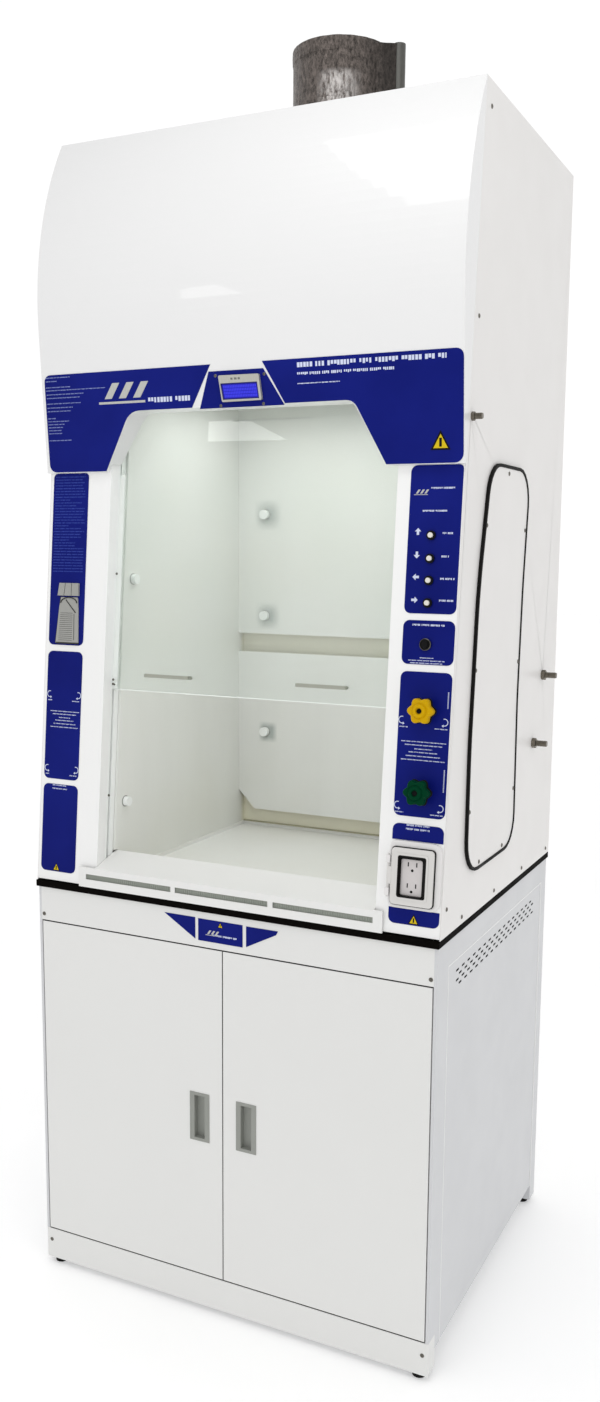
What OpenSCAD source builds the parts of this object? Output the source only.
// Bench-height fume hood on a two-door base cabinet, with a counterbalanced sash,
// a roof blower and a round exhaust duct. Millimetres, +Z up, +Y to the back.
// The origin is on the floor, under the middle of the cabinet.

/* [Cabinet] */
// Width over the base cabinet
body_w = 900; // [860:5:1000]
// Depth from the door faces to the back panel
body_d = 744; // [720:2:800]
// Height of the levelling feet under the plinth
foot_h = 12; // [10:1:20]
// Height of the base cabinet without its feet
cabinet_h = 849; // [820:1:900]
// Thickness of the black worktop slab
slab_t = 14; // [12:1:20]
// Depth of the door pans
door_t = 18; // [16:1:22]

/* [Hood] */
// Height of the hood above the slab
hood_h = 1513; // [1505:1:1513]
// How far the hood's front edge leans back over its height
setback = 135; // [135:1:140]
// Sheet thickness of the hood's sides
skin = 2; // [1.5:0.5:3]
// Distance that the hood stands proud of the cabinet on each side
overhang = 4; // [2:1:6]
// Bend radius of the front cover's curved top
cover_r = 680; // [680:5:700]

/* [Sash] */
// Height of the glass pane
glass_h = 935; // [930:1:940]
// Thickness of the glass pane
glass_t = 6; // [5:0.5:6]
// Height of the pane's lower edge above the slab, as it stands
sash_rest = 411; // [300:1:450]

/* [Duct] */
// Outer radius of the exhaust duct
duct_r = 107; // [100:1:110]
// Length of duct above the roof
duct_h = 236; // [150:1:260]

/* [Hidden] */

// Planes of the cabinet
x_side = body_w / 2;
y_front = -body_d / 2;
y_back = body_d / 2;
z_plinth = foot_h;
z_cab = foot_h + cabinet_h;
z_slab = z_cab + slab_t;
z_roof = z_slab + hood_h;
z_door0 = 83;
z_door1 = z_cab - 76;
z_floor_pan = 80;
sheet = 1.5;
door_gap = 2.5;
post_w = 6;
side_stile = 61;
rear_stile = 41;
side_z0 = 49;
plinth_return = 36;
side_z1 = z_cab - 52;
door_w = body_w / 2 - post_w - door_gap - door_gap / 2;
pin_r = 2.5;
pin_inset = 5;
run_fit = 0.05;

// Planes of the hood
x_hood = x_side + overhang;
lean = atan(setback / hood_h);
lean_k = setback / hood_h;
column_l = 148;
column_r = 125;
x_col_l = -x_side + column_l;
x_col_r = x_side - column_r;
column_top = 1000;
liner_t = 5;
ceiling_h = 1040;
back_gap = 591;
chamber_y1 = y_front + back_gap;
baffle_t = 4;
plenum_d = 22;
liner_y = chamber_y1 + baffle_t + plenum_d;
tray_h = 22;
sill_h = 42;
sill_d = 70;
sill_rise = 24;

// Front cover: a straight lower stretch that leans forward, then one arc
cover_lean = 4.04;
cover_y0 = 65;
cover_h0 = 850;
cover_h1 = 1127;
cover_t = 2;
lip_depth = 28;
lip_h = 866;
mouth_half0 = 308;
mouth_half1 = 240;
mouth_h1 = 967;

// Sash and its counterbalance, measured in the leaning frame
glass_y = 35;
glass_x0 = x_col_l - 14;
glass_x1 = x_col_r + 14;
guide_top = 940;
lug_rise = 905;
shaft_s = 1467;
drum_r = 25;
shaft_r = 8;
shaft_y = glass_y + drum_r;
drum_l = -335;
drum_rt = 358;
drum_w = -385;
shaft_x0 = -432;
shaft_x1 = 385;
weight_top = 1020;
weight_h = 530;
weight_t = 44;

// Controls on the right column
button_x = 396;
button_hs = [725, 684, 645, 605];
reset_h = 531;
knob_x = 404;
gas_h = 413;
water_h = 267;
// Holes in the hood's sides for the pipes and the supply cable: depth, height, radius
nipple_at = [[y_front + 629, z_slab + 429, 6], [y_front + 569, z_slab + 284, 6],
             [y_front + 99, z_slab + 934, 5]];
gland_at = [y_front + 640, z_slab + 380];
gland_r = 12;
spindle_r = 4;
outlet_h0 = 52;
outlet_h1 = 175;
outlet_x = 399;
lid_x0 = 351;
lid_x1 = 438.5;
lid_h0 = 59;
lid_h1 = 163;

// Blower and duct
duct_y = y_front + 513;
conduit_x = 133;
spigot_h = 20;
collar_r = duct_r + 4;
blower_y = y_front + 450;
blower_z = z_slab + 1292;
scroll_r = 175;
scroll_w = 170;
motor_r = 70;

white = [0.93, 0.93, 0.93];
liner_white = [0.86, 0.88, 0.85];
plate_blue = [0.1, 0.13, 0.5];
dark = [0.1, 0.1, 0.09];
steel = [0.7, 0.7, 0.7];

// Height above the slab turned into distance along the leaning front
function up(h) = h / cos(lean);
// Where the leaning front plane is at a height above the slab
function lean_y(h) = y_front + lean_k * h;
function unit(v) = v / norm(v);
function wrap(a) = a > 180 ? a - 360 : a < -180 ? a + 360 : a;
// Arc that rounds corner b between a and c
function corner(a, b, c, r, n) = r == 0 ? [b] : let(
    u = unit(a - b), v = unit(c - b), half = acos(u * v) / 2,
    m = b + unit(u + v) * r / sin(half),
    p = b + u * r / tan(half) - m, q = b + v * r / tan(half) - m,
    a0 = atan2(p.y, p.x), turn = wrap(atan2(q.y, q.x) - a0)
) [for (i = [0:n]) m + r * [cos(a0 + turn * i / n), sin(a0 + turn * i / n)]];
// Outline with each corner rounded by its own radius
function soften(pts, rs, n = 5) = let(k = len(pts))
    [for (i = [0:k - 1]) each corner(pts[(i + k - 1) % k], pts[i], pts[(i + 1) % k], rs[i], n)];
function rect(x0, z0, x1, z1) = [[x0, z0], [x1, z0], [x1, z1], [x0, z1]];

// Box between two opposite corners
module block(a, b) { translate(a) cube(b - a); }
// Leaning frame: X across, Y into the hood, Z up the slope
module leaning() { translate([0, y_front, z_slab]) rotate([-lean, 0, 0]) children(); }
// Plate in the XZ plane between depths y0 and y1
module face_plate(y0, y1) {
    translate([0, y1, 0]) rotate([90, 0, 0]) linear_extrude(y1 - y0) children();
}
// Plate in the YZ plane between x0 and x1
module side_plate(x0, x1) {
    translate([x0, 0, 0]) rotate([90, 0, 90]) linear_extrude(x1 - x0) children();
}
// Round bar from a depth y0 to a depth y1
module rod_y(r, y0, y1, sides = 32) {
    translate([0, y0, 0]) rotate([-90, 0, 0]) cylinder(r = r, h = y1 - y0, $fn = sides);
}
module rod_x(r, x0, x1, sides = 32) {
    translate([x0, 0, 0]) rotate([0, 90, 0]) cylinder(r = r, h = x1 - x0, $fn = sides);
}

// ---------------------------------------------------------------- base cabinet
module frame_post(s) {
    mirror([s < 0 ? 1 : 0, 0, 0]) {
        // Front stile: side leaf and narrow front leaf
        block([x_side - sheet, y_front, z_floor_pan], [x_side, y_front + side_stile, z_cab]);
        block([x_side - sheet, y_front + plinth_return, side_z0],
              [x_side, y_front + side_stile, z_floor_pan]);
        block([x_side - post_w, y_front, z_floor_pan], [x_side, y_front + 24, z_cab]);
        block([x_side - 30, y_front + 24, z_floor_pan], [x_side, y_front + 26, z_cab]);
        // Rear post runs down to the plinth line
        difference() {
            block([x_side - 40, y_back - rear_stile, z_plinth], [x_side, y_back - 2, z_cab]);
            block([x_side - 38, y_back - rear_stile + 2, z_plinth - 1],
                  [x_side - 2, y_back - 4, z_cab + 1]);
        }
        block([x_side - 36, y_back - 37, z_plinth], [x_side - 4, y_back - 6, z_plinth + 3]);
        // Rails above and below the removable side panel
        block([x_side - sheet, y_front + side_stile, side_z1],
              [x_side, y_back - rear_stile, z_cab]);
        block([x_side - 30, y_front + 26, z_cab - 3], [x_side, y_back - rear_stile, z_cab]);
        block([x_side - 40, y_front + 26, z_floor_pan - 22],
              [x_side - 10, y_back - rear_stile, z_floor_pan - 2]);
    }
}
module base_frame() {
    color(white) {
        frame_post(-1);
        frame_post(1);
        // Floor pan, front tie and rear tie
        block([-x_side + 10, y_front + 24, z_floor_pan - 2], [x_side - 10, y_back - 4, z_floor_pan]);
        block([-x_side + post_w, y_front + 4, z_cab - 30],
              [x_side - post_w, y_front + 26, z_cab - 1]);
        block([-x_side + 38, y_back - 26, z_cab - 30], [x_side - 38, y_back - 4, z_cab - 1]);
        // Front legs behind the plinth
        for (s = [-1, 1]) {
            block([s * (x_side - 26) - 20, y_front + 4, z_plinth],
                  [s * (x_side - 26) + 20, y_front + plinth_return, z_plinth + 3]);
            block([s * (x_side - 9) - 4, y_front + 4, z_plinth],
                  [s * (x_side - 9) + 4, y_front + plinth_return, z_floor_pan - 2]);
        }
    }
}
module plinth_panel() {
    color(white) {
        block([-x_side, y_front, z_plinth], [x_side, y_front + sheet, z_floor_pan]);
        block([-x_side, y_front, z_floor_pan - sheet], [x_side, y_front + 23.5, z_floor_pan]);
        for (s = [-1, 1])
            block([s * (x_side - sheet / 2) - sheet / 2, y_front, z_plinth],
                  [s * (x_side - sheet / 2) + sheet / 2, y_front + plinth_return, z_floor_pan]);
    }
}
module fascia_panel() {
    color(white) {
        block([-x_side + post_w, y_front, z_door1 + 3],
              [x_side - post_w, y_front + sheet, z_cab - 0.5]);
        block([-x_side + post_w, y_front, z_door1 + 3],
              [x_side - post_w, y_front + 20, z_door1 + 3 + sheet]);
    }
}
vent_cols = 16;
vent_rows = 4;
vent_pitch_y = 33.4;
vent_pitch_z = 9.8;
vent_y = 116.5;
vent_drop = 76.5;
vent_len = 17;
vent_wid = 4.4;
// One slot with round ends
module vent_slot() {
    square([vent_len - vent_wid, vent_wid], center = true);
    for (s = [-1, 1]) translate([s * (vent_len - vent_wid) / 2, 0]) circle(d = vent_wid, $fn = 16);
}
side_gap = 0.8;
module side_panel(s) {
    inset = 1;
    color(white) mirror([s < 0 ? 1 : 0, 0, 0]) {
        side_plate(x_side - inset - sheet, x_side - inset) difference() {
            polygon(rect(y_front + side_stile + side_gap, side_z0, y_back - rear_stile - side_gap,
                         side_z1 - side_gap));
            for (i = [0:vent_cols - 1], j = [0:vent_rows - 1])
                translate([y_front + vent_y + (i + (j % 2) / 2) * vent_pitch_y,
                           z_cab - vent_drop - j * vent_pitch_z])
                    vent_slot();
        }
        // Return flange along the bottom edge
        block([x_side - 10, y_front + side_stile + 1, side_z0],
              [x_side - inset, y_back - rear_stile - 1, side_z0 + sheet]);
    }
}
module side_panel_left() { side_panel(-1); }
module side_panel_right() { side_panel(1); }
module cabinet_back() {
    color(white) block([-x_side + 1, y_back - 2, z_plinth + 30], [x_side - 1, y_back, z_cab]);
}

pull_w = 46;
pull_h = 104;
pull_x = 54;
pull_z = 427;
// Door pan drawn for the right door: hinge edge at +X
module door(s) {
    x0 = door_gap / 2;
    x1 = x0 + door_w;
    px = x1 - pin_inset;
    py = y_front + pin_inset;
    color(white) mirror([s < 0 ? 1 : 0, 0, 0]) difference() {
        union() {
            difference() {
                block([x0, y_front, z_door0], [x1, y_front + door_t, z_door1]);
                block([x0 + sheet, y_front + sheet, z_door0 + sheet],
                      [x1 - sheet, y_front + door_t + 1, z_door1 - sheet]);
            }
            // Inner liner sheet, set into the pan
            block([x0 + sheet, y_front + door_t - 3, z_door0 + sheet],
                  [x1 - sheet, y_front + door_t - 2, z_door1 - sheet]);
            // Hinge blocks in the two outer corners
            for (z = [z_door0, z_door1 - 20])
                block([px - 8, y_front + sheet / 2, z], [x1 - sheet / 2, y_front + 12, z + 20]);
        }
        // Bores for the hinge pins
        for (z = [z_door0 - 1, z_door1 - 18])
            translate([px, py, z]) cylinder(r = pin_r + run_fit, h = 19, $fn = 32);
        // Cut-out for the flush pull
        block([pull_x - pull_w / 2 + 2, y_front - 1, pull_z - pull_h / 2 + 2],
              [pull_x + pull_w / 2 - 2, y_front + sheet + 1, pull_z + pull_h / 2 - 2]);
    }
}
module door_left() { door(-1); }
module door_right() { door(1); }
module pull(s) {
    lip = 1.2;
    rim = 11;
    color([0.5, 0.5, 0.48]) mirror([s < 0 ? 1 : 0, 0, 0]) {
        difference() {
            union() {
                block([pull_x - pull_w / 2, y_front - lip, pull_z - pull_h / 2],
                      [pull_x + pull_w / 2, y_front, pull_z + pull_h / 2]);
                block([pull_x - pull_w / 2 + 2.2, y_front - lip, pull_z - pull_h / 2 + 2.2],
                      [pull_x + pull_w / 2 - 2.2, y_front + 13, pull_z + pull_h / 2 - 2.2]);
            }
            block([pull_x - pull_w / 2 + rim, y_front - 2, pull_z - pull_h / 2 + rim * 0.6],
                  [pull_x + pull_w / 2 - rim, y_front + 11.5, pull_z + pull_h / 2 - rim * 0.6]);
        }
    }
}
module pull_left() { pull(-1); }
module pull_right() { pull(1); }
module hinge_pins() {
    px = door_gap / 2 + door_w - pin_inset;
    color(steel) for (s = [-1, 1]) {
        translate([s * px, y_front + pin_inset, z_floor_pan])
            cylinder(r = pin_r, h = z_door0 - z_floor_pan + 14, $fn = 32);
        translate([s * px, y_front + pin_inset, z_door1 - 14])
            cylinder(r = pin_r, h = 17, $fn = 32);
    }
}
module magnetic_catches() {
    color(dark) for (s = [-1, 1])
        block([s * 40 - 22, y_front + door_t + 2, z_door1 - 12],
              [s * 40 + 22, y_front + door_t + 16, z_cab - 30]);
}
module levelling_feet() {
    foot_y = [y_front + 20, y_back - 24];
    color(dark) for (s = [-1, 1], y = foot_y) translate([s * (x_side - 24), y, 0]) {
        cylinder(r = 14, h = foot_h - 2, $fn = 40);
        translate([0, 0, foot_h - 2]) cylinder(r = 10, h = 2, $fn = 6);
    }
}
module worktop_slab() {
    over = 5;
    color(dark) block([-x_side - over + 1, y_front - over, z_cab], [x_side + over - 1, y_back, z_slab]);
}

// ------------------------------------------------------------------- hood shell
module hood_side_outline() {
    polygon([[y_front, z_slab], [y_back, z_slab], [y_back, z_roof],
             [y_front + setback, z_roof]]);
}
// Outline of the service access cover, inset by e: both long edges bend back towards the top
access_front = [[119, 89], [124, 340], [150, 630], [205, 864]];
access_rear = [[468, 864], [440, 630], [426, 400], [430, 89]];
access_bend = [68, 900, 900, 76, 66, 900, 900, 66];
// Outline shrunk by e on every side; only the first and last corners move up or down
function access_outline(e) = soften([
    for (i = [0:3]) [y_front + access_front[i].x + e,
                     z_slab + access_front[i].y + (i == 0 ? e : i == 3 ? -e : 0)],
    for (i = [0:3]) [y_front + access_rear[i].x - e,
                     z_slab + access_rear[i].y + (i == 3 ? e : i == 0 ? -e : 0)]],
    [for (r = access_bend) r - e], 6);
module hood_side_left() {
    color(white) {
        side_plate(-x_hood, -x_hood + skin) difference() {
            hood_side_outline();
            translate(gland_at) circle(r = gland_r + 0.2, $fn = 48);
        }
        block([-x_hood, y_back - 20, z_slab], [-x_hood + 20, y_back - 18, z_roof - 2]);
    }
}
module hood_side_right() {
    color(white) {
        side_plate(x_hood - skin, x_hood) difference() {
            hood_side_outline();
            polygon(access_outline(26));
            for (p = nipple_at) translate([p.x, p.y]) circle(r = p.z + 0.2, $fn = 48);
        }
        block([x_hood - 20, y_back - 20, z_slab], [x_hood, y_back - 18, z_roof - 2]);
    }
}
gasket_w = 6;
gasket_out = 6.5;
cover_out = 4.6;
module access_gasket() {
    color(dark) side_plate(x_hood, x_hood + gasket_out) difference() {
        polygon(access_outline(0));
        polygon(access_outline(gasket_w));
    }
}
module access_cover() {
    color(white) side_plate(x_hood, x_hood + cover_out) polygon(access_outline(gasket_w));
}
module hood_back() {
    color(white)
        block([-x_hood + skin, y_back - 2, z_slab], [x_hood - skin, y_back, z_roof - 2]);
}
module hood_top() {
    color(white) {
        difference() {
            block([-x_hood + skin, y_front + setback + 3, z_roof - 2], [x_hood - skin, y_back, z_roof]);
            translate([0, duct_y, z_roof - 3]) cylinder(r = collar_r - 2, h = 5, $fn = 96);
            translate([conduit_x, duct_y, z_roof - 3]) cylinder(r = 15.4, h = 5, $fn = 48);
        }
        // Spigot that the duct is pushed over
        translate([0, duct_y, z_roof]) difference() {
            union() {
                cylinder(r = collar_r + 5, h = 1.5, $fn = 96);
                cylinder(r = duct_r - 2.2, h = spigot_h, $fn = 96);
            }
            translate([0, 0, -1]) cylinder(r = duct_r - 4, h = spigot_h + 2, $fn = 96);
        }
    }
}

// Outer line of the cover's section, set in by e: lower edge, bend, then the arc
cover_c = [cover_y0 - (cover_h1 - cover_h0) * tan(cover_lean) + cover_r * cos(cover_lean),
           cover_h1 + cover_r * sin(cover_lean)];
function cover_line(e, n = 20) = let(
    r = cover_r - e, t1 = asin((hood_h - cover_c.y) / r),
    foot = [cover_y0 + e / cos(cover_lean), cover_h0]
) concat([foot], [for (i = [0:n]) let(t = -cover_lean + (t1 + cover_lean) * i / n)
    cover_c + r * [-cos(t), sin(t)]]);
function to_world(p) = [y_front + p.x, z_slab + p.y];
module cover_section(e0, e1) {
    a = cover_line(e0);
    b = cover_line(e1);
    polygon([for (p = a) to_world(p), for (i = [len(b) - 1:-1:0]) to_world(b[i])]);
}
// Mouth of the cover: a trapezoid with eased upper corners
module mouth(e) {
    polygon(soften([[-mouth_half0 + e, z_slab + cover_h0 - 60], [mouth_half0 - e, z_slab + cover_h0 - 60],
                    [mouth_half0 - e, z_slab + cover_h0], [mouth_half1 - e, z_slab + mouth_h1 - e],
                    [-mouth_half1 + e, z_slab + mouth_h1 - e], [-mouth_half0 + e, z_slab + cover_h0]],
                   [0, 0, 0, 24, 30, 0]));
}
module front_cover() {
    color(white) {
        // Curved skin with its chamfered mouth
        difference() {
            side_plate(-x_hood, x_hood) cover_section(0, cover_t);
            face_plate(y_front - 10, y_front + 200) mouth(0);
        }
        // Flat cheeks that close the curve against the hood's sides
        for (s = [-1, 1]) side_plate(s * (x_hood - 1) - 1, s * (x_hood - 1) + 1)
            polygon([for (p = cover_line(0.5)) to_world(p),
                     [lean_y(hood_h) - 0.3, z_roof],
                     [lean_y(cover_h0) - 0.3, z_slab + cover_h0]]);
        // Lip round the mouth, back to the sash opening
        intersection() {
            face_plate(y_front + 20, y_front + 200) difference() {
                mouth(-2);
                mouth(0);
            }
            side_plate(-x_hood, x_hood) polygon([
                [y_front + cover_y0 + 1, z_slab + cover_h0],
                [lean_y(cover_h0) - 0.3, z_slab + cover_h0],
                [lean_y(lip_h) - 0.3, z_slab + lip_h],
                [lean_y(lip_h) + lip_depth, z_slab + lip_h],
                [lean_y(column_top) + lip_depth, z_slab + column_top],
                to_world([cover_y0 + 1 - (column_top - cover_h0) * tan(cover_lean), column_top])]);
        }
        // Underside strips between the mouth and the sides
        for (s = [-1, 1])
            block([s > 0 ? mouth_half0 + 0.5 : -x_hood, y_front + cover_y0 + 1, z_slab + cover_h0],
                  [s > 0 ? x_hood : -mouth_half0 - 0.5, lean_y(cover_h0) - 0.3, z_slab + cover_h0 + 2]);
    }
}

// Folded column: front leaf, reveal towards the sash and return along the side
module column(x_in, x_out, reveal) {
    s0 = up(3);
    s1 = up(column_top);
    d = sign(x_out - x_in);
    block([min(x_in, x_out), 0, s0], [max(x_in, x_out), 2, s1]);
    block([min(x_in, x_in + d * 2), 0, s0], [max(x_in, x_in + d * 2), reveal, s1]);
    block([min(x_out, x_out - d * 2), 0, s0], [max(x_out, x_out - d * 2), 6, s1]);
}
module left_column() {
    color(white) leaning() column(x_col_l, -x_hood + skin, 24);
}
module right_column() {
    color(white) leaning() difference() {
        column(x_col_r, x_hood - skin, 24);
        for (h = button_hs) translate([button_x, 0, up(h)]) rod_y(6.5, -1, 3);
        translate([button_x, 0, up(reset_h)]) rod_y(8.2, -1, 3);
        for (h = [gas_h, water_h]) translate([knob_x, 0, up(h)]) rod_y(9, -1, 3);
        block([outlet_x - 30, -1, up(outlet_h0) + 14], [outlet_x + 30, 3, up(outlet_h1) - 14]);
    }
}

// -------------------------------------------------------------- labels, display
label_t = 0.8;
// Label on the leaning front from one corner to the other, heights above the slab
module label(x0, h0, x1, h1, rs, holes = []) {
    face_plate(-label_t, 0) difference() {
        polygon(soften(rect(x0, up(h0), x1, up(h1)), rs));
        for (c = holes) translate([c.x, up(c.y)]) circle(r = c.z, $fn = 32);
    }
}
module on_cover() {
    translate([0, y_front + cover_y0, z_slab + cover_h0]) rotate([cover_lean, 0, 0]) children();
}
// Winged label of the cover: outer edge, then the inner edge's top and bottom
module cover_label(x_out, x_top, x_low, bend) {
    face_plate(-label_t, 0) polygon(soften(
        [[x_top, 195], [x_out, 195], [x_out, 1.5], [mouth_half0 - 2, 1.5],
         [mouth_half1 + 3, 117], [x_low, 117]],
        [0, 14, 16, 0, bend, 0]));
}
module label_plates() {
    round4 = [12, 12, 12, 12];
    left_x = [-445, -357];
    right_x = [351, 450];
    color(plate_blue) {
        leaning() {
            label(left_x[0], 497, left_x[1], 849.4, [12, 12, 8, 9]);
            label(left_x[0], 217, left_x[1], 484, round4);
            label(left_x[0], 22, left_x[1], 206, round4);
            label(right_x[0], 586, right_x[1], 849.4, [12, 12, 8, 12],
                  [for (h = button_hs) [button_x, h, 6.5]]);
            label(right_x[0], 495, right_x[1], 574, round4, [[button_x, reset_h, 8.2]]);
            label(right_x[0], 220, right_x[1], 482, round4,
                  [[knob_x, gas_h, 9], [knob_x, water_h, 9]]);
            label(right_x[0], outlet_h1 + 1, right_x[1], 206, [0, 0, 12, 12]);
            label(right_x[0], 22, right_x[1], outlet_h0 - 1, [12, 12, 0, 0]);
        }
        on_cover() {
            cover_label(452.5, 58, 104, 24);
            mirror([1, 0, 0]) cover_label(446.5, 54, 98, 38);
            face_plate(-label_t, 0) polygon([[-80, 114], [103, 114], [60, 182], [-58, 182]]);
        }
        // Three plates in a row on the fascia
        face_plate(y_front - label_t, y_front) {
            polygon(rect(-55, z_cab - 60, 46, z_cab - 15));
            polygon([[-134, z_cab - 14], [-62, z_cab - 14], [-62, z_cab - 58]]);
            polygon([[54, z_cab - 16], [124, z_cab - 16], [120, z_cab - 24], [54, z_cab - 58]]);
        }
    }
}
module display_frame() {
    color([0.7, 0.7, 0.67]) on_cover() face_plate(-7, -label_t) difference() {
        polygon(soften([[-27, 124.3], [58.5, 124.8], [53, 172.5], [-34, 173.3]], [3, 3, 3, 3]));
        screen_outline(-0.3);
    }
}
// Outline of the screen, inset by e
module screen_outline(e) {
    polygon([[-24.6 + e, 128.6 + e], [53.2 - e, 128.4 + e], [49.4 - e, 158 - e], [-29.4 + e, 158.2 - e]]);
}
module display_screen() {
    color([0.24, 0.24, 0.9]) on_cover() face_plate(-5, -label_t) screen_outline(0);
}
module bottle_plaque() {
    color([0.62, 0.62, 0.6]) leaning() {
        face_plate(-4, -label_t) polygon([[-425.5, up(501.5)], [-368, up(501.5)], [-372, up(600)],
                                          [-416, up(600)]]);
        face_plate(-6, -label_t) polygon([[-422.5, up(599)], [-370, up(599)], [-370, up(625)],
                                          [-418, up(625)]]);
    }
}

// ------------------------------------------------------------------------- sash
s_rest = up(sash_rest);
module sash_glass() {
    color([0.8, 0.88, 0.85, 0.35]) leaning()
        block([glass_x0, glass_y - glass_t / 2, s_rest],
              [glass_x1, glass_y + glass_t / 2, s_rest + glass_h]);
}
handle_len = 104;
handle_out = 20;
handle_t = 7;
chamber_x = (x_col_l + x_col_r) / 2;
module sash_handles() {
    y_face = glass_y - glass_t / 2;
    color(steel) leaning() {
        for (s = [-1, 1]) translate([chamber_x + s * 172, 0, s_rest + 33]) {
            block([-handle_len / 2, y_face - handle_out, -handle_t / 2],
                  [handle_len / 2, y_face - handle_out + 5, handle_t / 2]);
            for (e = [-1, 1]) translate([e * (handle_len / 2 - 5), 0, 0])
                rod_y(3.5, y_face - handle_out + 2, y_face);
        }
        // Clamped lugs that the lift cables hook into, beyond the pane's top corners
        for (e = [[drum_l - 6, glass_x0 + 12], [glass_x1 - 12, drum_rt - 10 + 16]])
            for (y = [y_face - 2.5, glass_y + glass_t / 2])
                block([e[0], y, s_rest + lug_rise], [e[1], y + 2.5, s_rest + lug_rise + 18]);
    }
}
guide_front = 10.5;
guide_back = 18.5;
// Channel bar that opens towards the glass and fills the space up to the side liner
module guide(x_open, d) {
    groove = glass_t + 0.8;
    depth = 17;
    difference() {
        block([min(x_open, x_open + d * 22), glass_y - guide_front, up(sill_h + 4)],
              [max(x_open, x_open + d * 22), glass_y + guide_back, guide_top]);
        block([min(x_open - d, x_open + d * depth), glass_y - groove / 2, up(sill_h + 4) - 1],
              [max(x_open - d, x_open + d * depth), glass_y + groove / 2, guide_top + 1]);
    }
}
module sash_guides() {
    color(liner_white) leaning() {
        guide(x_col_l - 0.2, -1);
        guide(x_col_r + 0.2, 1);
    }
}
module counterweight() {
    color([0.35, 0.35, 0.36]) leaning() {
        block([drum_w - 25, shaft_y + drum_r - weight_t / 2, weight_top - weight_h],
              [drum_w + 25, shaft_y + drum_r + weight_t / 2, weight_top]);
        translate([drum_w, shaft_y + drum_r, weight_top]) cylinder(r = 5, h = 14, $fn = 24);
    }
}
module lift_shaft() {
    color(steel) leaning() translate([0, shaft_y, shaft_s]) {
        rod_x(shaft_r, shaft_x0, shaft_x1);
        for (x = [drum_l, drum_rt, drum_w]) {
            rod_x(drum_r - 1.5, x - 8, x + 8, 64);
            for (e = [-9, 7]) rod_x(drum_r + 3, x + e, x + e + 2, 64);
        }
    }
}
module shaft_bearings() {
    color(dark) leaning() translate([0, shaft_y, shaft_s]) difference() {
        union() {
            block([-x_hood + skin, -16, -16], [shaft_x0 + 22, 16, 16]);
            block([shaft_x1 - 16, -16, -16], [x_hood - skin, 16, 16]);
        }
        rod_x(shaft_r + run_fit, shaft_x0 - 1, shaft_x1 + 1);
    }
}
module lift_cables() {
    cable_r = 1.2;
    lug_s = s_rest + lug_rise + 18;
    color([0.5, 0.5, 0.5]) leaning() {
        for (x = [drum_l, drum_rt])
            translate([x, glass_y, lug_s]) cylinder(r = cable_r, h = shaft_s - lug_s, $fn = 16);
        translate([drum_w, shaft_y + drum_r, weight_top + 14])
            cylinder(r = cable_r, h = shaft_s - weight_top - 14, $fn = 16);
    }
}

// ---------------------------------------------------------------- work chamber
tray_rim = 3;
tray_dish = 8;
module work_tray() {
    color(liner_white) difference() {
        block([x_col_l - 4, y_front + sill_d + 1, z_slab],
              [x_col_r + 4, liner_y + liner_t, z_slab + tray_h]);
        // Shallow dished floor inside a raised rim
        block([x_col_l + liner_t + tray_rim, y_front + sill_d + 8, z_slab + tray_h - tray_dish],
              [x_col_r - liner_t - tray_rim, liner_y - tray_rim, z_slab + tray_h + 1]);
    }
}
sill_x = 342;
slot_h0 = 17;
slot_h1 = 28;
slot_spans = [[-324, -117], [-107, 103], [114, 323]];
sill_t = 2;
module air_sill() {
    y0 = y_front - 5;
    y1 = y_front + sill_d;
    color(white) {
        difference() {
            block([-sill_x, y0, z_slab], [sill_x, y0 + sill_t, z_slab + sill_h]);
            for (e = slot_spans)
                block([e[0], y0 - 1, z_slab + slot_h0], [e[1], y0 + 3, z_slab + slot_h1]);
        }
        // Ramp between the columns, climbing to a folded rear edge that drops to the slab
        side_plate(x_col_l + 0.5, x_col_r - 0.5) polygon([
            [y0, z_slab + sill_h - sill_t], [y0, z_slab + sill_h], [y1, z_slab + sill_h + sill_rise],
            [y1, z_slab], [y1 - sill_t, z_slab], [y1 - sill_t, z_slab + sill_h + sill_rise - 3]]);
        block([-sill_x, y0, z_slab + sill_h - sill_t], [sill_x, y_front - 0.5, z_slab + sill_h]);
        for (s = [-1, 1]) block([s * (sill_x - 1) - 1, y0, z_slab],
                                [s * (sill_x - 1) + 1, y_front - 0.5, z_slab + sill_h]);
    }
}
// One sheet folded round three sides of the chamber
module side_liners() {
    y_rear = liner_y + liner_t;
    color(liner_white) {
        for (x = [x_col_l, x_col_r - liner_t]) difference() {
            side_plate(x, x + liner_t) polygon([
                [lean_y(tray_h) + 54, z_slab + tray_h], [y_rear, z_slab + tray_h],
                [y_rear, z_slab + ceiling_h], [lean_y(ceiling_h) + 54, z_slab + ceiling_h]]);
            block([x - 1, y_front, z_slab],
                  [x + liner_t + 1, y_front + sill_d + 1, z_slab + sill_h + sill_rise + 2]);
        }
        block([x_col_l, liner_y, z_slab + tray_h], [x_col_r, y_rear, z_slab + ceiling_h]);
    }
}
slot_low = 38.5;
slot_mid0 = 452;
slot_mid1 = 497;
baffle_cut = 44;
module baffles() {
    x0 = x_col_l + 5;
    x1 = x_col_r - 5;
    z0 = z_slab + tray_h + slot_low;
    color(liner_white) face_plate(chamber_y1, chamber_y1 + baffle_t) {
        polygon([[x0 + baffle_cut, z0], [x1 - baffle_cut, z0], [x1, z0 + baffle_cut],
                 [x1, z_slab + slot_mid0], [x0, z_slab + slot_mid0], [x0, z0 + baffle_cut]]);
        polygon(rect(x0, z_slab + slot_mid1, x1, z_slab + ceiling_h));
    }
}
knob_inset = 79;
knob_rows = [257, 541, 782];
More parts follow.
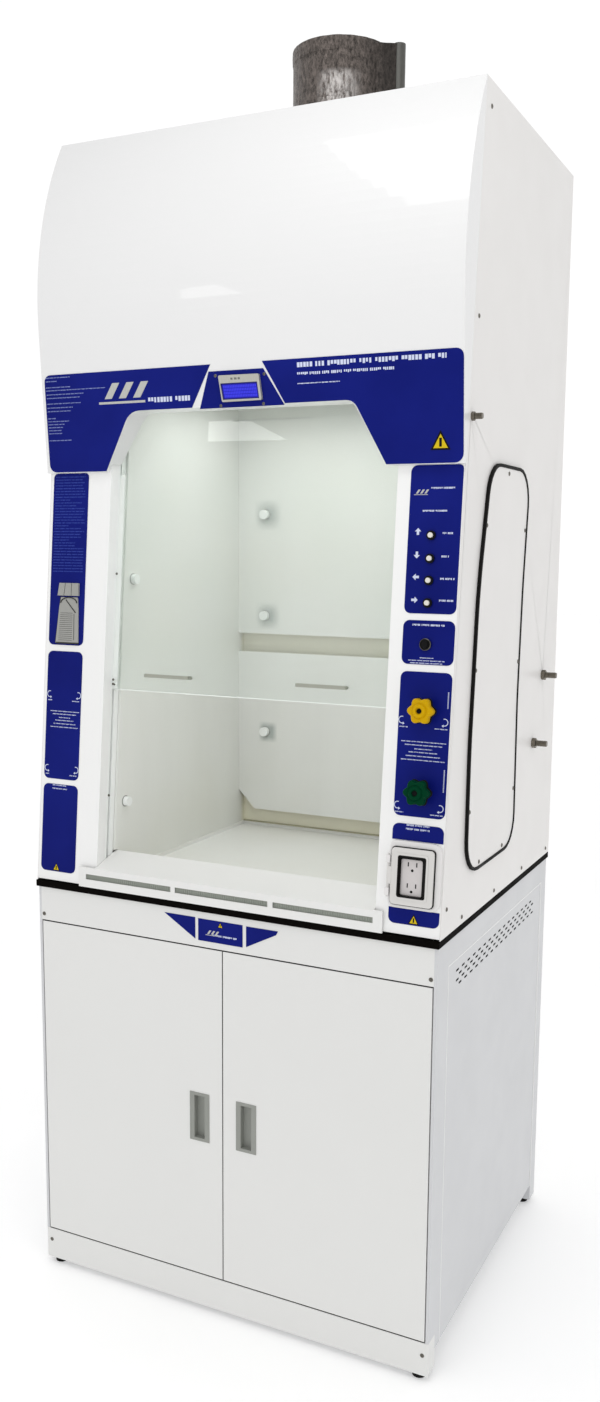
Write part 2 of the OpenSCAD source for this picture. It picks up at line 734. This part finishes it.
module baffle_knobs() {
    color([0.95, 0.95, 0.95]) {
        for (x = [x_col_l + knob_inset, x_col_r - knob_inset], h = knob_rows)
            translate([x, chamber_y1, z_slab + h]) {
                rod_y(11, -12, 0);
                rod_y(8, baffle_t, 12);
                // Square spacer between the baffle and the liner's rear sheet
                block([-20, baffle_t, -20], [20, baffle_t + plenum_d, 20]);
            }
        for (h = [166, 634]) translate([x_col_l + 5, lean_y(h) + 86, z_slab + h]) {
            rod_x(10, 0, 11);
            mirror([1, 0, 0]) rod_x(6, 5, 12);
        }
    }
}
lamp_w = 420;
module chamber_ceiling() {
    color(liner_white) difference() {
        block([x_col_l - 4, lean_y(ceiling_h) + 54, z_slab + ceiling_h],
              [x_col_r + 4, chamber_y1 + baffle_t, z_slab + ceiling_h + 5]);
        block([chamber_x - lamp_w / 2 + 10, y_front + 260, z_slab + ceiling_h - 1],
              [chamber_x + lamp_w / 2 - 10, y_front + 350, z_slab + ceiling_h + 6]);
    }
}
module lamp() {
    color([0.95, 0.95, 0.9]) {
        difference() {
            block([chamber_x - lamp_w / 2, y_front + 250, z_slab + ceiling_h + 5],
                  [chamber_x + lamp_w / 2, y_front + 360, z_slab + ceiling_h + 75]);
            block([chamber_x - lamp_w / 2 + 4, y_front + 254, z_slab + ceiling_h + 4],
                  [chamber_x + lamp_w / 2 - 4, y_front + 356, z_slab + ceiling_h + 71]);
        }
        for (y = [285, 325]) translate([0, y_front + y, z_slab + ceiling_h + 40])
            rod_x(13, chamber_x - lamp_w / 2 + 4, chamber_x + lamp_w / 2 - 4);
    }
}

// -------------------------------------------------------------------- controls
plate_out = 6;
module outlet_plate() {
    color([0.9, 0.9, 0.89]) leaning() {
        face_plate(-plate_out, 0) difference() {
            polygon(soften(rect(350.5, up(outlet_h0), 451, up(outlet_h1)), [10, 17, 17, 10]));
            polygon(rect(outlet_x - 27, up(outlet_h0) + 17, outlet_x + 19, up(outlet_h1) - 21));
        }
        // Hinge lugs down the left edge
        for (h = [lid_h0 + 22, lid_h1 - 22]) translate([lid_x0 - 1, -plate_out - 5, up(h)])
            difference() {
                block([-4, -4, -7], [4, 5, 7]);
                translate([0, 0, -8]) cylinder(r = 2.05, h = 16, $fn = 24);
            }
    }
}
socket_pitch = 39;
module socket_holes() {
    for (s = [-1, 1]) translate([outlet_x - 4, s * socket_pitch / 2]) {
        for (e = [-1, 1]) translate([e * 8.2, 5]) square([2.4, 8], center = true);
        translate([0, -6]) circle(r = 2.6, $fn = 20);
    }
}
module receptacle() {
    color([0.9, 0.88, 0.86]) leaning() translate([0, 0, up(109)]) {
        face_plate(-5, 2) difference() {
            polygon(soften(rect(outlet_x - 26, -32.5, outlet_x + 17, 33.5), [3, 3, 3, 3]));
            socket_holes();
        }
        block([outlet_x - 25, 2, -40], [outlet_x + 17, 32, 40]);
    }
}
lid_t = 5;
module outlet_lid() {
    y1 = -plate_out - 1;
    z0 = up(lid_h0);
    z1 = up(lid_h1);
    color([0.92, 0.92, 0.91]) leaning() {
        face_plate(y1 - lid_t, y1) difference() {
            polygon(soften(rect(lid_x0 + 5, z0, lid_x1, z1), [7, 7, 7, 7]));
            polygon(soften(rect(outlet_x - 30, z0 + 14, outlet_x + 25, z1 - 13.5), [4, 4, 4, 4]));
        }
        // Raised ring round the window
        face_plate(y1 - lid_t - 1.2, y1 - lid_t) difference() {
            polygon(soften(rect(outlet_x - 34, z0 + 10, outlet_x + 29, z1 - 9.5), [5, 5, 5, 5]));
            polygon(soften(rect(outlet_x - 30, z0 + 14, outlet_x + 25, z1 - 13.5), [4, 4, 4, 4]));
        }
        // Hinge rod in knuckles between the plate's lugs
        translate([lid_x0 - 1, -plate_out - 5, (z0 + z1) / 2]) {
            translate([0, 0, -40]) cylinder(r = 2, h = 80, $fn = 24);
            block([0, -1.5, -16], [7, 1.5, 16]);
        }
    }
}
module push_button(i) {
    color("white") leaning() translate([button_x, 0, up(button_hs[i])]) {
        rod_y(4.6, -9, 12);
        rod_y(7, 14, 16);
        rod_y(3, 12, 14);
    }
}
module button_up() { push_button(0); }
module button_down() { push_button(1); }
module button_left() { push_button(2); }
module button_right() { push_button(3); }
module button_bezels() {
    color(dark) leaning() {
        for (h = button_hs) translate([button_x, 0, up(h)]) difference() {
            union() {
                rod_y(8.5, -5, -label_t);
                rod_y(6.3, -label_t, 10);
            }
            rod_y(4.65, -6, 11);
        }
        translate([button_x, 0, up(reset_h)]) difference() {
            union() {
                rod_y(11, -4, -label_t);
                rod_y(8, -label_t, 22);
            }
            rod_y(6.05, -5, 18);
        }
    }
}
module reset_button() {
    color(dark) leaning() translate([button_x, 0, up(reset_h)]) rod_y(6, -7, 14);
}
// Six-lobed knob that faces forward
lobes = 6;
knob_r = 24.5;
module star_knob(h) {
    leaning() translate([knob_x, 0, up(h)]) {
        face_plate(-38, -20) difference() {
            circle(r = knob_r, $fn = 72);
            for (i = [0:lobes - 1]) rotate((i + 0.5) * 360 / lobes)
                translate([knob_r + 3, 0]) circle(r = 8, $fn = 32);
        }
        rod_y(13, -20.5, -12);
        rod_y(12, -41, -37.5);
        rod_y(spindle_r, -13, 30);
    }
}
module gas_knob() {
    color([0.9, 0.72, 0.05]) star_knob(gas_h);
}
module water_knob() {
    color([0.04, 0.35, 0.16]) star_knob(water_h);
}
// Valve body behind the column, closed by the knob's spindle
module valve(h) {
    leaning() translate([knob_x, 0, up(h)]) difference() {
        union() {
            rod_y(8.5, -8, 12);
            rod_y(14, 12, 60);
        }
        rod_y(spindle_r + run_fit, -9, 32);
    }
}
// Threaded nipple through the side panel, with a nut on each face
module nipple(p, out, nut_r, nut_t) {
    translate([0, p.x, p.y]) {
        rod_x(p.z, x_hood - 22, x_hood + out);
        rod_x(nut_r, x_hood, x_hood + nut_t, 6);
        rod_x(nut_r, x_hood - 8, x_hood - skin, 6);
    }
}
module service_valves() {
    color([0.72, 0.68, 0.6]) {
        valve(gas_h);
        valve(water_h);
        nipple(nipple_at[0], 33, 11, 9);
        nipple(nipple_at[1], 33, 11, 9);
        nipple(nipple_at[2], 20, 8, 6);
    }
}
module cable_gland() {
    color(dark) translate([0, gland_at.x, gland_at.y]) mirror([1, 0, 0]) difference() {
        union() {
            rod_x(gland_r + 5, x_hood, x_hood + 8, 6);
            rod_x(gland_r + 2, x_hood + 8, x_hood + 30);
            rod_x(gland_r, x_hood - 12, x_hood);
        }
        rod_x(gland_r / 2, x_hood - 13, x_hood + 31);
    }
}

// -------------------------------------------------------------- blower and duct
neck_w = 150;
module blower_housing() {
    w = scroll_w / 2;
    color(steel) difference() {
        union() {
            translate([0, blower_y, blower_z]) rod_x(scroll_r, -w, w, 96);
            block([-neck_w / 2, duct_y - 75, blower_z], [neck_w / 2, duct_y + 75, z_roof - 2.5]);
            // Feet down to the chamber ceiling
            for (s = [-1, 1]) block([s * (w - 10) - 10, blower_y - 70, z_slab + ceiling_h + 5],
                                    [s * (w - 10) + 10, blower_y + 70, blower_z - 140]);
        }
        translate([0, blower_y, blower_z]) {
            rod_x(scroll_r - 2, -w + 2, w - 2, 96);
            rod_x(95, -w - 1, -w + 3, 64);
            rod_x(14, w - 3, w + 1);
        }
        block([-neck_w / 2 + 2, duct_y - 73, blower_z], [neck_w / 2 - 2, duct_y + 73, z_roof]);
    }
}
blades = 24;
module blower_impeller() {
    x1 = scroll_w / 2 - 12;
    color([0.3, 0.3, 0.32]) translate([0, blower_y, blower_z]) {
        rod_x(118, x1 - 3, x1, 64);
        difference() {
            rod_x(118, -x1, -x1 + 4, 64);
            rod_x(92, -x1 - 1, -x1 + 5, 64);
        }
        for (i = [0:blades - 1]) rotate([i * 360 / blades, 0, 0]) translate([0, 0, 106])
            rotate([30, 0, 0]) block([-x1 + 1, -1.2, -12], [x1 - 1, 1.2, 10]);
        rod_x(7, x1 - 12, x1 + 92);
        rod_x(24, x1 - 26, x1 - 2);
    }
}
module blower_motor() {
    x0 = scroll_w / 2 + 8;
    color([0.25, 0.3, 0.35]) translate([0, blower_y, blower_z]) difference() {
        union() {
            rod_x(motor_r, x0, x0 + 130, 64);
            block([x0 - 8, -85, -4], [x0, -60, 4]);
            block([x0 - 8, 60, -4], [x0, 85, 4]);
            block([x0, -86, -6], [x0 + 4, 86, 6]);
        }
        rod_x(7 + run_fit, x0 - 9, x0 + 100);
    }
}
module foil_duct() {
    color([0.42, 0.41, 0.4]) translate([0, duct_y, z_roof + 1.8]) difference() {
        cylinder(r = duct_r, h = duct_h - 1.8, $fn = 96);
        translate([0, 0, -1]) cylinder(r = duct_r - 2, h = duct_h + 2, $fn = 96);
    }
}
module conduit_riser() {
    color([0.45, 0.45, 0.44]) translate([conduit_x, duct_y, z_roof - 40]) difference() {
        cylinder(r = 15, h = duct_h + 40, $fn = 48);
        translate([0, 0, -1]) cylinder(r = 12.5, h = duct_h + 42, $fn = 48);
    }
}

// ------------------------------------------------------------------- fasteners
screw_r = 4;
// Low domed screw head that sits on a side face
module side_screw(s, y, z, x = x_hood) {
    translate([0, y, z]) mirror([s < 0 ? 1 : 0, 0, 0]) {
        rod_x(screw_r, x, x + 1.2, 20);
        rod_x(screw_r * 0.6, x + 1.2, x + 2, 20);
    }
}
module panel_screws() {
    // Just inside the gasket: up the front edge, across the top, down the rear edge
    cover_pts = [[133, 213], [147, 479], [189, 746], [319, 848], [440, 742], [420, 475],
                 [416, 210], [347, 103], [198, 103]];
    color([0.45, 0.45, 0.44]) {
        for (p = cover_pts) side_screw(1, y_front + p.x, z_slab + p.y, x_hood + cover_out);
        for (s = [-1, 1]) {
            for (y = [30, 117, 318, 517, 715]) side_screw(s, y_front + y, z_slab + (y < 40 ? 52 : 14));
            side_screw(s, y_front + 162, z_slab + 1469);
            side_screw(s, y_front + 123, z_slab + 1109);
            for (z = [z_cab - 60, z_plinth + 42]) translate([s * (x_side - 12), y_front, z])
                rod_y(screw_r, -1.2, 0, 20);
        }
        for (x = [-x_hood + 12, x_hood - 12], h = [60, 420, 780, 1140, 1460])
            translate([x, y_back, z_slab + h]) rod_y(screw_r, 0, 1.2, 20);
    }
}

base_frame();
plinth_panel();
fascia_panel();
side_panel_left();
side_panel_right();
cabinet_back();
door_left();
door_right();
pull_left();
pull_right();
hinge_pins();
magnetic_catches();
levelling_feet();
worktop_slab();
label_plates();
panel_screws();
hood_side_left();
hood_side_right();
access_cover();
access_gasket();
hood_back();
hood_top();
front_cover();
left_column();
right_column();
display_frame();
display_screen();
bottle_plaque();
sash_glass();
sash_handles();
sash_guides();
counterweight();
lift_shaft();
shaft_bearings();
lift_cables();
work_tray();
air_sill();
side_liners();
baffles();
baffle_knobs();
chamber_ceiling();
lamp();
outlet_plate();
receptacle();
outlet_lid();
button_up();
button_down();
button_left();
button_right();
button_bezels();
reset_button();
gas_knob();
water_knob();
service_valves();
blower_housing();
blower_impeller();
blower_motor();
foil_duct();
conduit_riser();
cable_gland();
